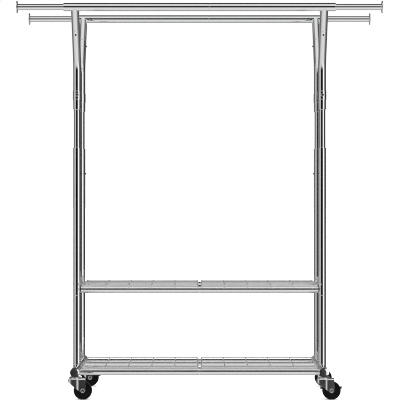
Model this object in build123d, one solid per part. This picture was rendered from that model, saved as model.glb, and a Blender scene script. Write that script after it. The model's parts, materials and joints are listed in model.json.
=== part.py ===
from build123d import *
import math
import os

# Rolling clothes rack, in millimetres. X runs along the hanging rails, -Y is the front, +Z is up,
# and the floor is at z = 0. The rack stands on four swivel casters that all trail towards +X.

# Tube stock
TUBE_R = 19.0                       # 38 mm outside diameter, used for posts, arms, rails and shelf rims
WALL = 1.2
BORE_R = TUBE_R - WALL
SLEEVE_R = BORE_R - 0.3             # couplers and sockets that slip inside the 38 mm tube
SPIGOT_R = BORE_R - 0.1             # swaged tube ends that plug into the next tube
FIT = 0.08                          # radial running clearance
SNUG = 0.05                         # radial gap between parts that are pressed together
EASY = 0.1                          # radial gap between parts that are assembled and stay put
SKIN = 0.3                          # gap left between faces that only pass each other
OVERRUN = 1.0                       # how far a cutter runs past the face it opens

# Overall layout
POST_X = 575.0
POST_Y = 138.0
POST_SEAM_Z = 473.0
POST_TOP_Z = 1167.0
RAIL_Y = 280.0
RAIL_Z = 1813.5
RAIL_HALF = 627.5
RAIL_SEAM_X = 46.0
SEAM_GAP = 0.8
POST_SEAM_GAP = 0.4

# Base
BASE_R = 19.5
BASE_BORE_R = 18.0
BASE_HALF = 290.0
BASE_Z = 130.5
PLUG_DEPTH = 14.0
PLUG_DOME = 9.0
PLUG_ROUND = 0.75                   # rounded share of the dome's height

# Arms: a narrow swaged shank inside the outer post, a shoulder, a bend, then a splay to the rail
SHANK_R = 15.9
SHANK_BORE_R = SHANK_R - WALL
SHANK_FOOT_Z = 960.0
SHOULDER_Z = 1343.0
SHOULDER_RISE = 5.0
BEND_Z = 1556.0
BEND_RADIUS = 120.0
SPIGOT_LENGTH = 60.0
ARM_SEAM_Z = {-1: 1712.0, 1: 1697.0}        # front arms, rear arms
SNAP_Z = {-1: 1698.0, 1: 1672.0}
SPLAY = math.atan2(RAIL_Y - POST_Y, RAIL_Z - BEND_Z)

# Height setting: a spring button in each shank and a row of holes in each outer post
HEIGHT_BUTTON_Z = 1047.0
HEIGHT_HOLES = 7
HEIGHT_PITCH = 25.0
BUTTON_R = 4.0
BUTTON_PLAY = 0.2
BUTTON_HOLE_R = BUTTON_R + BUTTON_PLAY
BUTTON_PROUD = 3.5
BUTTON_ROUND = 0.35                 # rounded share of a button's radius
BUTTON_FLANGE_R = 5.5
FLANGE_T = 2.2
HEIGHT_FLANGE_OUT = SHANK_BORE_R - 1.4
SNAP_FLANGE_OUT = SPIGOT_R - WALL - 1.5
BUSHING_LENGTH = 60.0

# Collars on the arms, each with a round push button
COLLAR_LOW_Z = 1392.0
COLLAR_HIGH_Z = 1435.0
COLLAR_R = 20.6
COLLAR_CHAMFER = 1.0
COLLAR_BUTTON_Z = 1415.0
COLLAR_BUTTON_R = 7.5
COLLAR_BUTTON_PROUD = 2.5
COLLAR_FLANGE_R = 9.0
COLLAR_FLANGE_OUT = BORE_R - 3.0

# Rail extensions
EXTENSION_R = 14.0
EXTENSION_INNER_X = 440.0
EXTENSION_TIP_X = 844.0
DISC_R = 28.85
DISC_T = 4.0
DISC_ROUND = 1.2
RAIL_BUSHING_LENGTH = 40.0
LOCK_SCREW_X = 540.0
LOCK_HEAD_R = 5.0
LOCK_SHANK_R = 3.0
LOCK_HEAD_T = 2.5
SOCKET_R = 1.7
SOCKET_DEPTH = 1.5

# Shelves: two tube rims and a welded wire deck, each shelf in a left and a right half
SHELF_END_X = 552.0
RIM_END_X = 547.0
SHELF_GAP = 9.0
SOCKET_TIP_X = 527.0
COUPLER_HALF = 60.0
DECK_HALF_DEPTH = 215.0
FRAME_WIRE_R = 3.0
FRAME_CORNER_R = 9.0
FRAME_INNER_X = 9.0
CROSS_WIRE_R = 2.5
LONG_WIRE_R = 2.0
CROSS_COUNT = 4
WELD = 0.4
MID_RIM_Y = POST_Y
MID_RIM_Z = 503.6
MID_LONG_Y = (-176.0, -88.0, 0.0, 88.0, 176.0)
LOW_RIM_Y = 179.0
LOW_RIM_Z = 123.0
LOW_LONG_Y = (-100.0, 0.0, 100.0)

# Casters
CASTER_Y = 258.0
WHEEL_R = 42.5
WHEEL_W = 21.0
TRAIL = 35.0
TREAD_ROUND = 5.0
HUB_R = 12.0
HUB_W = 31.6
RECESS_R = 31.0
RECESS_DEPTH = 2.5
AXLE_R = 5.5
AXLE_BORE_R = 4.0
AXLE_FLANGE_R = 9.5
AXLE_FLANGE_T = 2.0
AXLE_PLAY = 0.2
FORK_HALF_W = 18.5                  # over the legs
FORK_NOSE_HALF_W = 13.6             # over the narrower nose in front of them
FORK_STEP_X = (4.0, 18.0)           # where the sides step out from the nose to the legs
FORK_T = 2.2
FORK_TOP_Z = 99.2
FORK_CROWN_T = 2.6
FORK_NOSE_X = -33.0
FORK_NOSE_LOW_Z = 82.0
FORK_EYE_R = 12.5
CROWN_R = 27.5
KINGPIN_R = 6.0
RACE_R = 29.0
RACE_T = 7.0
RACE_ROUND = 5.0
STEM_HUB_R = 13.0
STEM_TOP_Z = 141.0
RIVET_R = 9.5
RIVET_T = 3.0
BRAKE_T = 2.0
BRAKE_PLAY = 0.4
BRAKE_REACH = 50.5
BRAKE_LOW = 4.0
BRAKE_HIGH = 16.0
BRAKE_EYE_R = 11.0
BRAKE_TAB = 12.0

CORNERS = {
    "front_left": (-1, -1),
    "front_right": (1, -1),
    "rear_left": (-1, 1),
    "rear_right": (1, 1),
}
BRAKED = ("front_right", "rear_left")
SIDES = {"left": -1, "right": 1}


def rod(start, end, radius):
    """A solid round bar between two points."""
    span = Vector(*end) - Vector(*start)
    plane = Plane(origin=start, z_dir=span)
    return plane * Cylinder(radius, span.length, align=(Align.CENTER, Align.CENTER, Align.MIN))


def shifted(point, direction, distance):
    """A point moved along a unit direction."""
    return tuple(p + d * distance for p, d in zip(point, direction))


def pipe(start, end, outer, inner):
    """A round tube between two points, open at both ends."""
    along = (Vector(*end) - Vector(*start)).normalized()
    step = (along.X, along.Y, along.Z)
    core = rod(shifted(start, step, -OVERRUN), shifted(end, step, OVERRUN), inner)
    return rod(start, end, outer) - core


def block(low, high):
    """A box between two opposite corners."""
    size = [b - a for a, b in zip(low, high)]
    middle = [(a + b) / 2 for a, b in zip(low, high)]
    return Pos(*middle) * Box(*size)


def base_tube(side):
    """One front-to-back base tube with caster stem holes and two sockets for the low shelf's rims."""
    x = side * POST_X
    tube = rod((x, -BASE_HALF, BASE_Z), (x, BASE_HALF, BASE_Z), BASE_R)
    for y in (-LOW_RIM_Y, LOW_RIM_Y):
        tube += pipe((x, y, LOW_RIM_Z), (side * SOCKET_TIP_X, y, LOW_RIM_Z), SLEEVE_R, SLEEVE_R - WALL)
    end = BASE_HALF + OVERRUN
    tube -= rod((x, -end, BASE_Z), (x, end, BASE_Z), BASE_BORE_R)
    for y in (-CASTER_Y, CASTER_Y):
        tube -= rod((x, y, BASE_Z - BASE_R - OVERRUN), (x, y, BASE_Z), KINGPIN_R + EASY)
    return tube


def base_plug(side, front):
    """A domed plastic plug in one end of a base tube."""
    x = side * POST_X
    face = front * BASE_HALF
    dome = Cylinder(BASE_R, PLUG_DOME)
    dome = fillet(dome.edges().group_by(Axis.Z)[-1], PLUG_DOME * PLUG_ROUND)
    plane = Plane(origin=(x, face + front * PLUG_DOME / 2, BASE_Z), z_dir=(0, front, 0))
    stopper = rod((x, face - front * PLUG_DEPTH, BASE_Z), (x, face + front, BASE_Z), BASE_BORE_R - SNUG)
    return plane * dome + stopper


def lower_post(side, front):
    """The post from the base tube up to the seam, ending in a swaged spigot."""
    x, y = side * POST_X, front * POST_Y
    post = rod((x, y, BASE_Z), (x, y, POST_SEAM_Z), TUBE_R)
    post += rod((x, y, POST_SEAM_Z - OVERRUN), (x, y, POST_SEAM_Z + SPIGOT_LENGTH), SPIGOT_R)
    bore_top = POST_SEAM_Z + SPIGOT_LENGTH + OVERRUN
    post -= rod((x, y, BASE_Z - OVERRUN), (x, y, bore_top), SPIGOT_R - WALL)
    post -= rod((x, y - 2 * TUBE_R, BASE_Z), (x, y + 2 * TUBE_R, BASE_Z), BASE_R + SNUG)
    return post


def outer_post(side, front):
    """The fixed outer post with its row of height holes and the socket for the middle shelf's rim."""
    x, y = side * POST_X, front * POST_Y
    post = rod((x, y, POST_SEAM_Z + POST_SEAM_GAP), (x, y, POST_TOP_Z), TUBE_R)
    post += pipe((x, y, MID_RIM_Z), (side * SOCKET_TIP_X, y, MID_RIM_Z), SLEEVE_R, SLEEVE_R - WALL)
    post -= rod((x, y, POST_SEAM_Z - OVERRUN), (x, y, POST_TOP_Z + OVERRUN), BORE_R)
    for step in range(HEIGHT_HOLES):
        z = HEIGHT_BUTTON_Z - step * HEIGHT_PITCH
        post -= rod((x, y, z), (x - side * (TUBE_R + OVERRUN), y, z), BUTTON_HOLE_R)
    return post


def post_bushing(side, front):
    """The plastic guide inside the top of an outer post."""
    x, y = side * POST_X, front * POST_Y
    return pipe((x, y, POST_TOP_Z - BUSHING_LENGTH), (x, y, POST_TOP_Z), BORE_R - SNUG, SHANK_R + FIT)


def shelf_half(side, rim_y, rim_z, long_rows):
    """One half of a shelf: front and rear rim tubes with a wire deck welded on top."""
    wire_z = rim_z + TUBE_R + CROSS_WIRE_R - WELD
    outer_x = SHELF_END_X - FRAME_WIRE_R
    edge_y = DECK_HALF_DEPTH - FRAME_WIRE_R
    width, middle = outer_x - FRAME_INNER_X, (outer_x + FRAME_INNER_X) / 2
    outline = RectangleRounded(width, 2 * edge_y, FRAME_CORNER_R).face().outer_wire()
    path = Pos(side * middle, 0, wire_z) * outline
    start = Plane(origin=path @ 0, z_dir=path % 0)
    frame = sweep(start * Circle(FRAME_WIRE_R), path=path)
    pitch = width / (CROSS_COUNT + 1)
    wires = []
    for number in range(1, CROSS_COUNT + 1):
        x = side * (FRAME_INNER_X + number * pitch)
        wires.append(rod((x, -edge_y, wire_z), (x, edge_y, wire_z), CROSS_WIRE_R))
    long_z = wire_z - CROSS_WIRE_R - LONG_WIRE_R + WELD
    for y in long_rows:
        wires.append(rod((side * FRAME_INNER_X, y, long_z), (side * outer_x, y, long_z), LONG_WIRE_R))
    rims = [
        pipe((side * SHELF_GAP / 2, y, rim_z), (side * RIM_END_X, y, rim_z), TUBE_R, BORE_R)
        for y in (-rim_y, rim_y)
    ]
    return frame.fuse(*wires).fuse(*rims)


def shelf_couplers():
    """Inner sleeves that join the two halves of each rim."""
    rims = [(MID_RIM_Y, MID_RIM_Z), (LOW_RIM_Y, LOW_RIM_Z)]
    return [
        pipe((-COUPLER_HALF, sign * y, z), (COUPLER_HALF, sign * y, z), SLEEVE_R, SLEEVE_R - WALL)
        for y, z in rims
        for sign in (-1, 1)
    ]


def arm_axis(front, z):
    """The point on an arm's splayed centreline at height z, as (y, z)."""
    return front * (POST_Y + (z - BEND_Z) * math.tan(SPLAY)), z


def arm_direction(front):
    """The unit vector up a splayed arm."""
    return 0.0, front * math.sin(SPLAY), math.cos(SPLAY)


def snap_pose(side, front):
    """Where an arm's snap button sits on the centreline, and which way it faces."""
    y, z = arm_axis(front, SNAP_Z[front])
    if front < 0:
        return (side * POST_X, y, z), (0.0, -math.cos(SPLAY), -math.sin(SPLAY))
    return (side * POST_X, y, z), (-float(side), 0.0, 0.0)


def bent_bar(side, front, low_z, radius):
    """A solid bar from low_z up the arm's bend to its seam."""
    x, y = side * POST_X, front * POST_Y
    seam_y, seam_z = arm_axis(front, ARM_SEAM_Z[front])
    path = FilletPolyline((x, y, low_z), (x, y, BEND_Z), (x, seam_y, seam_z), radius=BEND_RADIUS)
    return sweep(Plane.XY.offset(low_z) * Pos(x, y) * Circle(radius), path=path)


def arm(side, front):
    """An arm tube: swaged shank, shoulder, bend and splay, with holes for its three buttons."""
    x, y = side * POST_X, front * POST_Y
    low = SHOULDER_Z + SHOULDER_RISE
    outer = bent_bar(side, front, low, TUBE_R)
    taper = Cone(SHANK_R, TUBE_R, SHOULDER_RISE, align=(Align.CENTER, Align.CENTER, Align.MIN))
    outer += Pos(x, y, SHOULDER_Z) * taper
    outer += rod((x, y, SHANK_FOOT_Z), (x, y, SHOULDER_Z), SHANK_R)
    inner = bent_bar(side, front, low, BORE_R)
    inner_taper = Cone(SHANK_BORE_R, BORE_R, SHOULDER_RISE, align=(Align.CENTER, Align.CENTER, Align.MIN))
    inner += Pos(x, y, SHOULDER_Z) * inner_taper
    inner += rod((x, y, SHANK_FOOT_Z - OVERRUN), (x, y, SHOULDER_Z), SHANK_BORE_R)
    tube = outer - inner
    tube -= rod((x, y, HEIGHT_BUTTON_Z), (x - side * TUBE_R, y, HEIGHT_BUTTON_Z), BUTTON_HOLE_R)
    reach = front * (TUBE_R + OVERRUN)
    tube -= rod((x, y, COLLAR_BUTTON_Z), (x, y + reach, COLLAR_BUTTON_Z), COLLAR_BUTTON_R + BUTTON_PLAY)
    point, facing = snap_pose(side, front)
    tube -= rod(point, shifted(point, facing, TUBE_R + OVERRUN), BUTTON_HOLE_R)
    return tube


def arm_collar(side, front):
    """The ring around an arm that carries the push button."""
    x, y = side * POST_X, front * POST_Y
    ring = rod((x, y, COLLAR_LOW_Z), (x, y, COLLAR_HIGH_Z), COLLAR_R)
    ring = chamfer(ring.edges().filter_by(GeomType.CIRCLE), COLLAR_CHAMFER)
    ring -= rod((x, y, COLLAR_LOW_Z - OVERRUN), (x, y, COLLAR_HIGH_Z + OVERRUN), TUBE_R + SNUG)
    reach = front * (COLLAR_R + OVERRUN)
    return ring - rod((x, y, COLLAR_BUTTON_Z), (x, y + reach, COLLAR_BUTTON_Z), COLLAR_BUTTON_R + BUTTON_PLAY)


def rail(side, front):
    """Half of a hanging rail with the splayed stub that plugs into its arm."""
    x, y = side * POST_X, front * RAIL_Y
    start = RAIL_SEAM_X + side * SEAM_GAP / 2
    tube = rod((start, y, RAIL_Z), (side * RAIL_HALF, y, RAIL_Z), TUBE_R)
    seam_y, seam_z = arm_axis(front, ARM_SEAM_Z[front])
    up = arm_direction(front)
    seam = (x, seam_y, seam_z)
    tube += rod(shifted(seam, up, SEAM_GAP), (x, y, RAIL_Z), TUBE_R)
    tube += rod(shifted(seam, up, -SPIGOT_LENGTH), shifted(seam, up, 2 * OVERRUN), SPIGOT_R)
    tube -= rod(shifted(seam, up, -SPIGOT_LENGTH - OVERRUN), (x, y, RAIL_Z), SPIGOT_R - WALL)
    bore_end = side * (RAIL_HALF + OVERRUN)
    tube -= rod((start - side * OVERRUN, y, RAIL_Z), (bore_end, y, RAIL_Z), BORE_R)
    screw_x = side * LOCK_SCREW_X
    tube -= rod((screw_x, y, RAIL_Z), (screw_x, y - front * (TUBE_R + OVERRUN), RAIL_Z), LOCK_SHANK_R + EASY)
    point, facing = snap_pose(side, front)
    return tube - rod(point, shifted(point, facing, TUBE_R), BUTTON_HOLE_R)


def rail_coupler(front):
    """The inner sleeve that joins the two halves of a rail at its seam."""
    ends = (RAIL_SEAM_X - COUPLER_HALF, RAIL_SEAM_X + COUPLER_HALF)
    y = front * RAIL_Y
    return pipe((ends[0], y, RAIL_Z), (ends[1], y, RAIL_Z), SLEEVE_R, SLEEVE_R - WALL)


def rail_bushing(side, front):
    """The plastic guide inside a rail's open end."""
    y = front * RAIL_Y
    ends = (side * (RAIL_HALF - RAIL_BUSHING_LENGTH), side * RAIL_HALF)
    return pipe((ends[0], y, RAIL_Z), (ends[1], y, RAIL_Z), BORE_R - SNUG, EXTENSION_R + FIT)


def lock_screw(side, front):
    """A round-head screw that clamps a rail extension from the rail's inward face."""
    x, y = side * LOCK_SCREW_X, front * RAIL_Y
    inward = -front
    tip = y + inward * (EXTENSION_R + SKIN)
    seat = y + inward * TUBE_R
    top = seat + inward * LOCK_HEAD_T
    screw = rod((x, tip, RAIL_Z), (x, top, RAIL_Z), LOCK_SHANK_R)
    screw += rod((x, seat, RAIL_Z), (x, top, RAIL_Z), LOCK_HEAD_R)
    return screw - rod((x, top - inward * SOCKET_DEPTH, RAIL_Z), (x, top + inward, RAIL_Z), SOCKET_R)


def extension(side, front):
    """A sliding rail extension with its end disc."""
    y = front * RAIL_Y
    face = side * (EXTENSION_TIP_X - DISC_T)
    tube = pipe((side * EXTENSION_INNER_X, y, RAIL_Z), (face, y, RAIL_Z), EXTENSION_R, EXTENSION_R - WALL)
    disc = Cylinder(DISC_R, DISC_T)
    disc = fillet(disc.edges(), DISC_ROUND)
    plane = Plane(origin=(face + side * DISC_T / 2, y, RAIL_Z), z_dir=(side, 0, 0))
    return tube + plane * disc


def button(point, facing, radius, tip, flange_out, flange_r):
    """A push button: a round pin with an eased tip and a flange that stays inside the tube."""
    length = tip - flange_out + FLANGE_T
    pin = Cylinder(radius, length, align=(Align.CENTER, Align.CENTER, Align.MAX))
    pin = fillet(pin.edges().group_by(Axis.Z)[-1], radius * BUTTON_ROUND)
    body = Plane(origin=shifted(point, facing, tip), z_dir=facing) * pin
    return body + rod(shifted(point, facing, flange_out - FLANGE_T), shifted(point, facing, flange_out), flange_r)


def height_button(side, front):
    point = (side * POST_X, front * POST_Y, HEIGHT_BUTTON_Z)
    return button(point, (-float(side), 0.0, 0.0), BUTTON_R, TUBE_R + BUTTON_PROUD, HEIGHT_FLANGE_OUT, BUTTON_FLANGE_R)


def snap_button(side, front):
    point, facing = snap_pose(side, front)
    return button(point, facing, BUTTON_R, TUBE_R + BUTTON_PROUD, SNAP_FLANGE_OUT, BUTTON_FLANGE_R)


def collar_button(side, front):
    point = (side * POST_X, front * POST_Y, COLLAR_BUTTON_Z)
    tip = COLLAR_R + COLLAR_BUTTON_PROUD
    return button(point, (0.0, float(front), 0.0), COLLAR_BUTTON_R, tip, COLLAR_FLANGE_OUT, COLLAR_FLANGE_R)


def caster_stem(x, y):
    """The fixed king pin: stem in the base tube, hub, race disc and riveted foot."""
    race_low = FORK_TOP_Z + SKIN
    race_high = race_low + RACE_T
    crown_low = FORK_TOP_Z - FORK_CROWN_T
    rivet_high = crown_low - SKIN
    stem = rod((x, y, rivet_high - RIVET_T), (x, y, STEM_TOP_Z), KINGPIN_R)
    stem += rod((x, y, rivet_high - RIVET_T), (x, y, rivet_high), RIVET_R)
    race = rod((x, y, race_low), (x, y, race_high), RACE_R)
    race = fillet(race.edges().filter_by(GeomType.CIRCLE).group_by(Axis.Z)[-1], RACE_ROUND)
    return stem + race + rod((x, y, race_low), (x, y, BASE_Z - BASE_R - EASY), STEM_HUB_R)


def fork_side_profile():
    """The fork's outline seen from the side: square top, slanted leading edge, round eye at the axle."""
    nose = (FORK_NOSE_X - OVERRUN, FORK_NOSE_LOW_Z)
    span = (TRAIL - nose[0], WHEEL_R - nose[1])
    distance = math.hypot(*span)
    angle = math.atan2(span[1], span[0]) - math.asin(FORK_EYE_R / distance)
    reach = math.sqrt(distance ** 2 - FORK_EYE_R ** 2)
    tangent = (nose[0] + reach * math.cos(angle), nose[1] + reach * math.sin(angle))
    top = FORK_TOP_Z + OVERRUN
    tail = TRAIL + FORK_EYE_R
    outline = Polygon(
        (nose[0], top), nose, tangent, (TRAIL, WHEEL_R), (tail, WHEEL_R), (tail, top), align=None
    )
    return outline + Pos(TRAIL, WHEEL_R) * Circle(FORK_EYE_R)


def fork_plan(inset, tail):
    """The fork's plan: wide legs that step in to a narrower half-round nose, all drawn in by inset."""
    nose_x = FORK_NOSE_X + FORK_NOSE_HALF_W
    narrow, wide = FORK_NOSE_HALF_W - inset, FORK_HALF_W - inset
    step_in, step_out = FORK_STEP_X
    side = [(nose_x, narrow), (step_in, narrow), (step_out, wide), (tail, wide)]
    far_side = [(x, -y) for x, y in reversed(side)]
    return Polygon(*side, *far_side, align=None) + Pos(nose_x, 0) * Circle(narrow)


def caster_fork(x, y):
    """A pressed fork: two legs joined by a round nose, under a flat crown."""
    tail = TRAIL + FORK_EYE_R
    shell = extrude(fork_plan(0.0, tail), FORK_TOP_Z)
    hollow = extrude(fork_plan(FORK_T, tail + FORK_HALF_W), FORK_TOP_Z - FORK_CROWN_T)
    shell -= hollow
    side = Plane.XZ * fork_side_profile()
    shell &= extrude(side, 2 * FORK_HALF_W, both=True)
    crown = rod((0, 0, FORK_TOP_Z - FORK_CROWN_T), (0, 0, FORK_TOP_Z), CROWN_R)
    shell += crown
    shell -= rod((0, 0, 0), (0, 0, FORK_TOP_Z + OVERRUN), KINGPIN_R + FIT)
    shell -= rod((TRAIL, -2 * FORK_HALF_W, WHEEL_R), (TRAIL, 2 * FORK_HALF_W, WHEEL_R), AXLE_R + 0.1)
    return Pos(x, y, 0) * shell


def caster_axle(x, y, braked):
    """A flanged tubular axle; on a braked caster it also holds the brake rocker."""
    near = -(FORK_HALF_W + AXLE_PLAY)
    far = FORK_HALF_W + (BRAKE_T + 2 * BRAKE_PLAY if braked else AXLE_PLAY)
    ax = x + TRAIL
    axle = rod((ax, y + near - AXLE_FLANGE_T, WHEEL_R), (ax, y + far + AXLE_FLANGE_T, WHEEL_R), AXLE_R)
    axle += rod((ax, y + near - AXLE_FLANGE_T, WHEEL_R), (ax, y + near, WHEEL_R), AXLE_FLANGE_R)
    axle += rod((ax, y + far, WHEEL_R), (ax, y + far + AXLE_FLANGE_T, WHEEL_R), AXLE_FLANGE_R)
    reach = far + AXLE_FLANGE_T + OVERRUN
    return axle - rod((ax, y - reach, WHEEL_R), (ax, y + reach, WHEEL_R), AXLE_BORE_R)


def caster_wheel(x, y):
    """A moulded wheel with a rounded tread, dished sides and a hub."""
    plane = Plane(origin=(x + TRAIL, y, WHEEL_R), z_dir=(0, 1, 0))
    body = fillet(Cylinder(WHEEL_R, WHEEL_W).edges(), TREAD_ROUND)
    dish = Cylinder(RECESS_R, RECESS_DEPTH)
    for sign in (-1, 1):
        body -= Pos(0, 0, sign * (WHEEL_W - RECESS_DEPTH) / 2) * dish
    body += Cylinder(HUB_R, HUB_W)
    body -= Cylinder(AXLE_R + FIT, HUB_W + 2 * OVERRUN)
    return plane * body


def caster_brake(x, y):
    """A brake rocker on the axle, outside the far fork leg, with a foot tab at each end."""
    low_y = FORK_HALF_W + BRAKE_PLAY
    high_y = low_y + BRAKE_T
    plate = rod((0, low_y, 0), (0, high_y, 0), BRAKE_EYE_R)
    plate += block((-BRAKE_REACH, low_y, BRAKE_LOW), (BRAKE_REACH, high_y, BRAKE_HIGH))
    for sign in (-1, 1):
        ends = sorted((sign * (BRAKE_REACH - BRAKE_T), sign * BRAKE_REACH))
        plate += block((ends[0], low_y, BRAKE_LOW), (ends[1], high_y + BRAKE_TAB, BRAKE_HIGH))
    plate -= rod((0, low_y - OVERRUN, 0), (0, high_y + OVERRUN, 0), AXLE_R + FIT)
    return Pos(x + TRAIL, y, WHEEL_R) * plate


def corner_parts(name, side, front):
    """Every node that exists once per corner."""
    x, y = side * POST_X, front * CASTER_Y
    parts = {
        f"lower_post_{name}": lower_post(side, front),
        f"outer_post_{name}": outer_post(side, front),
        f"arm_{name}": arm(side, front),
        f"rail_{name}": rail(side, front),
        f"rail_extension_{name}": extension(side, front),
        f"height_button_{name}": height_button(side, front),
        f"snap_button_{name}": snap_button(side, front),
        f"collar_button_{name}": collar_button(side, front),
        f"caster_fork_{name}": caster_fork(x, y),
        f"caster_axle_{name}": caster_axle(x, y, name in BRAKED),
        f"caster_wheel_{name}": caster_wheel(x, y),
    }
    if name in BRAKED:
        parts[f"caster_brake_{name}"] = caster_brake(x, y)
    return parts


def grouped_parts():
    """Identical small pieces, one node per kind with a separate solid for each."""
    corners = list(CORNERS.values())
    return {
        "base_end_plugs": [base_plug(*c) for c in corners],
        "post_bushings": [post_bushing(*c) for c in corners],
        "shelf_couplers": shelf_couplers(),
        "arm_collars": [arm_collar(*c) for c in corners],
        "rail_couplers": [rail_coupler(front) for front in (-1, 1)],
        "rail_bushings": [rail_bushing(*c) for c in corners],
        "rail_lock_screws": [lock_screw(*c) for c in corners],
        "caster_stems": [caster_stem(s * POST_X, f * CASTER_Y) for s, f in corners],
    }


def all_parts():
    parts = {}
    for name, side in SIDES.items():
        parts[f"base_tube_{name}"] = base_tube(side)
        parts[f"shelf_middle_{name}"] = shelf_half(side, MID_RIM_Y, MID_RIM_Z, MID_LONG_Y)
        parts[f"shelf_low_{name}"] = shelf_half(side, LOW_RIM_Y, LOW_RIM_Z, LOW_LONG_Y)
    for name, (side, front) in CORNERS.items():
        parts.update(corner_parts(name, side, front))
    for name, solids in grouped_parts().items():
        parts[name] = Compound(children=[s.solid() for s in solids])
    return parts


os.makedirs("parts", exist_ok=True)
for node, shape in all_parts().items():
    export_step(shape, f"parts/{node}.step")
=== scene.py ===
import json
import math

import bmesh
import bpy
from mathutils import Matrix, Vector

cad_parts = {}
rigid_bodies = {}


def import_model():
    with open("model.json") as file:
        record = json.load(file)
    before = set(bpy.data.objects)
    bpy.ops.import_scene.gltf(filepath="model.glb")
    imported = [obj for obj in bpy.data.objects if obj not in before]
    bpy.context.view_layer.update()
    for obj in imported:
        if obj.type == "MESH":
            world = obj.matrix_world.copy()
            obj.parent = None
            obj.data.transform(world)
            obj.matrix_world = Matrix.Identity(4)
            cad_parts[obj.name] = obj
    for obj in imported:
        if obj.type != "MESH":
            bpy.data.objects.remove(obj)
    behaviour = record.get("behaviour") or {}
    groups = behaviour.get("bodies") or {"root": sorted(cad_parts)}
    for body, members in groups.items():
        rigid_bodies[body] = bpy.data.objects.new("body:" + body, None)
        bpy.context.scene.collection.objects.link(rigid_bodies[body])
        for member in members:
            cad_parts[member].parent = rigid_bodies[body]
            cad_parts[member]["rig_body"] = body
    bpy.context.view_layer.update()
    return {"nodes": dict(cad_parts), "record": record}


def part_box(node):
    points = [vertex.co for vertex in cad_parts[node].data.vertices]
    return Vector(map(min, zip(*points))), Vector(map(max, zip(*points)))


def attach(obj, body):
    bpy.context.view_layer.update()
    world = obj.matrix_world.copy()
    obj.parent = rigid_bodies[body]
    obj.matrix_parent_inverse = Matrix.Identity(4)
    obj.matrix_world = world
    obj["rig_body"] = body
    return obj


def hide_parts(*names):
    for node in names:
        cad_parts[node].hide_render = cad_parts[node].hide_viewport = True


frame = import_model()
NODES = frame["nodes"]
CORNERS = {
    "front_left": (-1, -1),
    "front_right": (1, -1),
    "rear_left": (-1, 1),
    "rear_right": (1, 1),
}


# ---------------------------------------------------------------- materials


def add_node(tree, kind, values=None, **settings):
    """A shader node with its settings, and the values of its unlinked sockets."""
    made = tree.nodes.new(kind)
    for name, value in settings.items():
        setattr(made, name, value)
    for name, value in (values or {}).items():
        made.inputs[name].default_value = value
    return made


def new_material(name):
    """A material with an empty principled shader: (material, tree, shader, object coordinates)."""
    material = bpy.data.materials.new(name)
    material.use_nodes = True
    tree = material.node_tree
    shader = tree.nodes["Principled BSDF"]
    coords = add_node(tree, "ShaderNodeTexCoord").outputs["Object"]
    return material, tree, shader, coords


def noise(tree, coords, scale, detail=3.0, stretch=(1.0, 1.0, 1.0)):
    """Noise at a number of cells to the metre, from 0 to 1."""
    mapping = add_node(tree, "ShaderNodeMapping")
    mapping.inputs["Scale"].default_value = stretch
    tree.links.new(coords, mapping.inputs["Vector"])
    texture = add_node(tree, "ShaderNodeTexNoise", {"Scale": scale, "Detail": detail, "Roughness": 0.55})
    tree.links.new(mapping.outputs["Vector"], texture.inputs["Vector"])
    return texture.outputs["Fac"]


def spread(tree, value, low, high, start=0.3, end=0.7):
    """A value eased from start..end onto low..high."""
    ramp = add_node(tree, "ShaderNodeMapRange", interpolation_type="SMOOTHSTEP")
    for name, number in (("From Min", start), ("From Max", end), ("To Min", low), ("To Max", high)):
        ramp.inputs[name].default_value = number
    tree.links.new(value, ramp.inputs["Value"])
    return ramp.outputs["Result"]


def tint(tree, value, dark, light):
    """A colour between two, by a value from 0 to 1."""
    mix = add_node(tree, "ShaderNodeMix", data_type="RGBA")
    mix.inputs[6].default_value = (*dark, 1.0)
    mix.inputs[7].default_value = (*light, 1.0)
    tree.links.new(value, mix.inputs["Factor"])
    return mix.outputs[2]


def bump(tree, shader, value, strength, distance):
    """Fine relief on the surface."""
    made = add_node(tree, "ShaderNodeBump", {"Strength": strength, "Distance": distance})
    tree.links.new(value, made.inputs["Height"])
    tree.links.new(made.outputs["Normal"], shader.inputs["Normal"])


def metal(name, dark, light, rough_low, rough_high, grain, grain_strength):
    """Plated steel: handling smudges in its gloss, a slow change of tone and a fine grain."""
    material, tree, shader, coords = new_material(name)
    shader.inputs["Metallic"].default_value = 1.0
    smudge = noise(tree, coords, 9.0, 4.0)
    tree.links.new(spread(tree, smudge, rough_low, rough_high), shader.inputs["Roughness"])
    tree.links.new(tint(tree, noise(tree, coords, 3.5), dark, light), shader.inputs["Base Color"])
    bump(tree, shader, noise(tree, coords, grain, 2.0), grain_strength, 0.0002)
    return material


def moulded(name, dark, light, rough_low, rough_high, grain, grain_strength):
    """Moulded plastic or rubber with a fine moulded grain and a slight change of gloss."""
    material, tree, shader, coords = new_material(name)
    shader.inputs["Specular IOR Level"].default_value = 0.22
    tree.links.new(spread(tree, noise(tree, coords, 40.0), rough_low, rough_high), shader.inputs["Roughness"])
    tree.links.new(tint(tree, noise(tree, coords, 25.0), dark, light), shader.inputs["Base Color"])
    bump(tree, shader, noise(tree, coords, grain, 3.0), grain_strength, 0.0003)
    return material


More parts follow.
